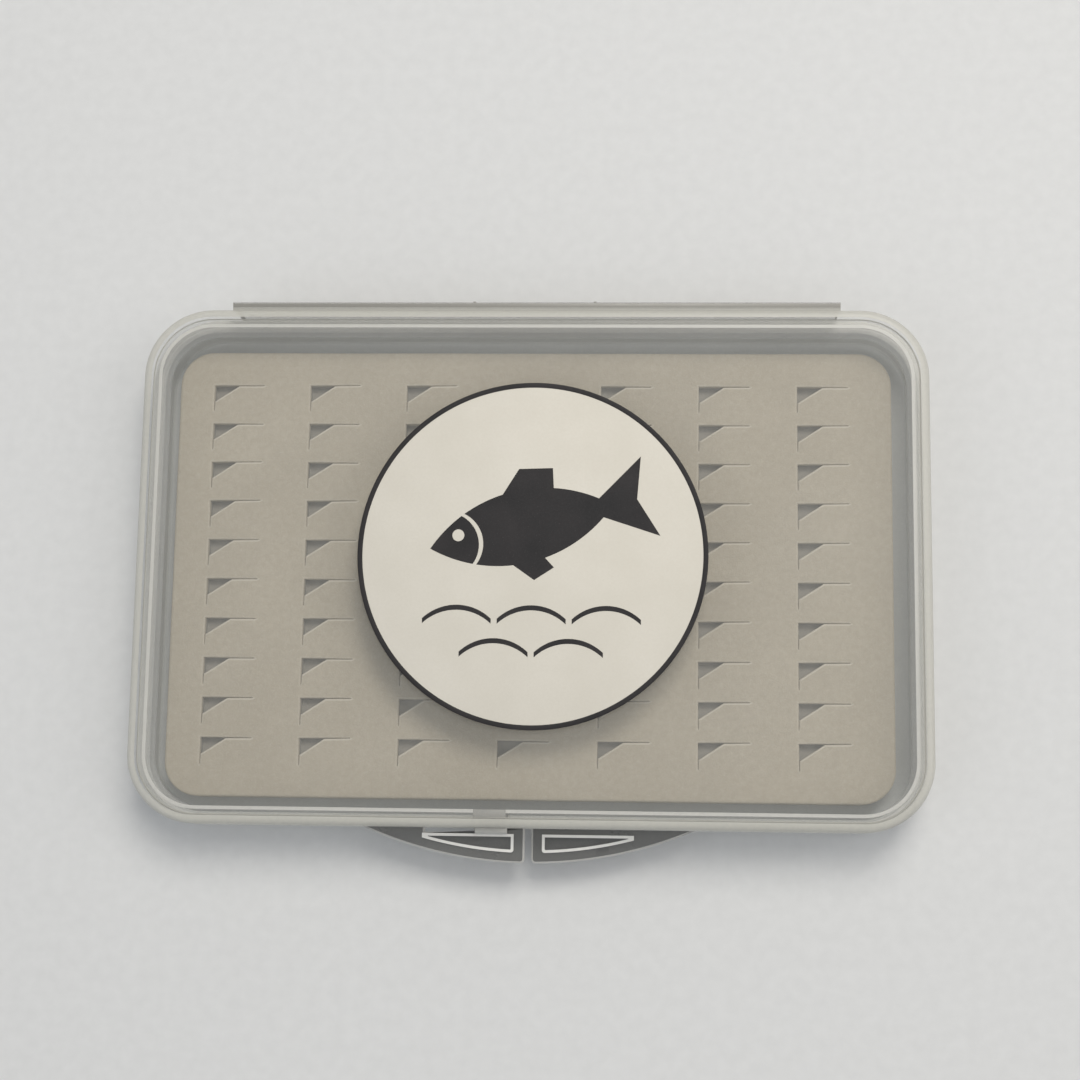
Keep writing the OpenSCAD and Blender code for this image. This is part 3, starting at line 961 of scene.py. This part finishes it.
def disc(node, inner, round_top, lift, steps=180):
    """A round layer of the label with a soft upper edge. inner is the radius of its hole, or 0, and lift
    raises its lower face."""
    low, high = (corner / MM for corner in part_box(node))
    cx = (low.x + high.x) / 2
    cy = (low.y + high.y) / 2
    outer = (high.x - low.x) / 2
    z0 = low.z + lift
    z1 = high.z
    bm = bmesh.new()
    profile = [(outer, z0), (outer, z1 - round_top), (outer - round_top * 0.3, z1 - round_top * 0.3)]
    profile.append((outer - round_top, z1))
    if inner:
        profile += [(inner + round_top, z1), (inner + round_top * 0.3, z1 - round_top * 0.3)]
        profile += [(inner, z1 - round_top), (inner, z0)]
    rings = []
    for r, z in profile:
        verts = []
        for k in range(steps):
            a = 2 * math.pi * k / steps
            verts.append(bm.verts.new(((cx + r * math.cos(a)) * MM, (cy + r * math.sin(a)) * MM, z * MM)))
        rings.append(verts)
    last = len(rings) if inner else len(rings) - 1
    for j in range(last):
        upper = rings[(j + 1) % len(rings)]
        lower = rings[j]
        for k in range(steps):
            n = (k + 1) % steps
            bm.faces.new((lower[k], lower[n], upper[n], upper[k]))
    if not inner:
        bm.faces.new(rings[0])
        bm.faces.new(rings[-1])
    bmesh.ops.recalc_face_normals(bm, faces=bm.faces)
    return bm


def label_layers():
    """The label's glue, sheet and printed ring."""
    border_low, border_high = (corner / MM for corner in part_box("label_border"))
    border_w = 0.9
    inner = (border_high.x - border_low.x) / 2 - border_w
    glue_layer = disc("label_adhesive", 0, 0.015, HAIR)
    piece("label_glue", glue_layer, LABEL_GLUE, "lid", ["label_adhesive"])
    sheet = disc("label_film", 0, 0.03, 0)
    piece("label_sheet", sheet, PAPER, "lid", ["label_film"])
    ring = disc("label_border", inner, 0.008, 0)
    piece("label_ring", ring, INK, "lid", ["label_border"])


def label_picture():
    """The printed picture, without the upright faces that its touching parts share inside."""
    bm = from_cad("label_artwork")
    between = []
    for face in bm.faces:
        face.smooth = False
        level = [edge for edge in face.edges if abs(edge.verts[0].co.z - edge.verts[1].co.z) < 1e-6]
        upright = abs(face.normal.z) < 0.5
        if upright and all(len(edge.link_faces) > 2 for edge in level):
            between.append(face)
    bmesh.ops.delete(bm, geom=between, context="FACES")
    piece("label_picture", bm, INK, "lid", ["label_artwork"], smooth=0)


# ---------------------------------------------------------------- stage

def floor():
    """A plain pale floor."""
    bm = bmesh.new()
    bmesh.ops.create_grid(bm, x_segments=4, y_segments=4, size=1.6)
    mesh = bpy.data.meshes.new("floor")
    bm.to_mesh(mesh)
    bm.free()
    mesh.materials.append(pale_surface())
    ob = bpy.data.objects.new("floor", mesh)
    ob.location.z = -0.02 * MM
    bpy.context.scene.collection.objects.link(ob)


def softbox(name, place, aim, size, power, tint):
    """A square area light."""
    data = bpy.data.lights.new(name, "AREA")
    data.shape = "SQUARE"
    data.size = size
    data.energy = power
    data.color = tint
    ob = bpy.data.objects.new(name, data)
    ob.location = place
    ob.rotation_euler = (Vector(aim) - Vector(place)).to_track_quat("-Z", "Y").to_euler()
    bpy.context.scene.collection.objects.link(ob)


def lights():
    """Soft light from above and behind, weaker ones from the right and front left, and a grey surround."""
    world = bpy.data.worlds.new("surround")
    world.use_nodes = True
    background = world.node_tree.nodes["Background"]
    background.inputs[0].default_value = (0.93, 0.96, 1.0, 1.0)
    background.inputs[1].default_value = 0.42
    bpy.context.scene.world = world
    softbox("key", (0.19, 0.44, 0.90), (0.0, 0.0, 0.0), 0.38, 5.1, (1.0, 0.965, 0.90))
    softbox("side", (0.75, 0.05, 0.75), (0.0, 0.0, 0.0), 0.6, 2.0, (1.0, 0.98, 0.95))
    softbox("fill", (-0.75, -0.35, 0.7), (0.0, 0.0, 0.0), 0.8, 1.6, (0.92, 0.96, 1.0))


def camera():
    """The photograph's view: from a little in front of the middle, almost straight down."""
    place = Vector((21.039, -50.896, 372.626)) * MM
    aim = Vector((1.767, 6.311, 16.0)) * MM
    roll = math.radians(-0.878)
    data = bpy.data.cameras.new("camera")
    data.sensor_width = 36.0
    data.lens = 66.667
    data.clip_start = 0.01
    ob = bpy.data.objects.new("camera", data)
    forward = (aim - place).normalized()
    right = forward.cross(Vector((0, 1, 0))).normalized()
    up = right.cross(forward)
    up = up * math.cos(roll) + right * math.sin(roll)
    right = forward.cross(up)
    ob.matrix_world = Matrix((
        (right.x, up.x, -forward.x, place.x),
        (right.y, up.y, -forward.y, place.y),
        (right.z, up.z, -forward.z, place.z),
        (0, 0, 0, 1),
    ))
    bpy.context.scene.collection.objects.link(ob)
    bpy.context.scene.camera = ob


camera()
lights()
floor()

base_tray()
base_seal_rim()
base_latch_lug()
base_thumb_tab()
foam_adhesive()
foam_bed()

hinge_film("hinge_film_lower", "film_lower", ("base", "hinge"))
hinge_spine()
hinge_film("hinge_film_upper", "film_upper", ("hinge", "lid"))

lid_shell()
lid_seal_lip()
lid_latch_block()
lid_thumb_tab()
label_layers()
label_picture()

# Light crosses many thin walls here, so a ray may pass more see-through faces than by default.
bpy.context.scene.cycles.transparent_max_bounces = 32
bpy.context.scene.view_settings.view_transform = "Standard"

bpy.context.view_layer.update()
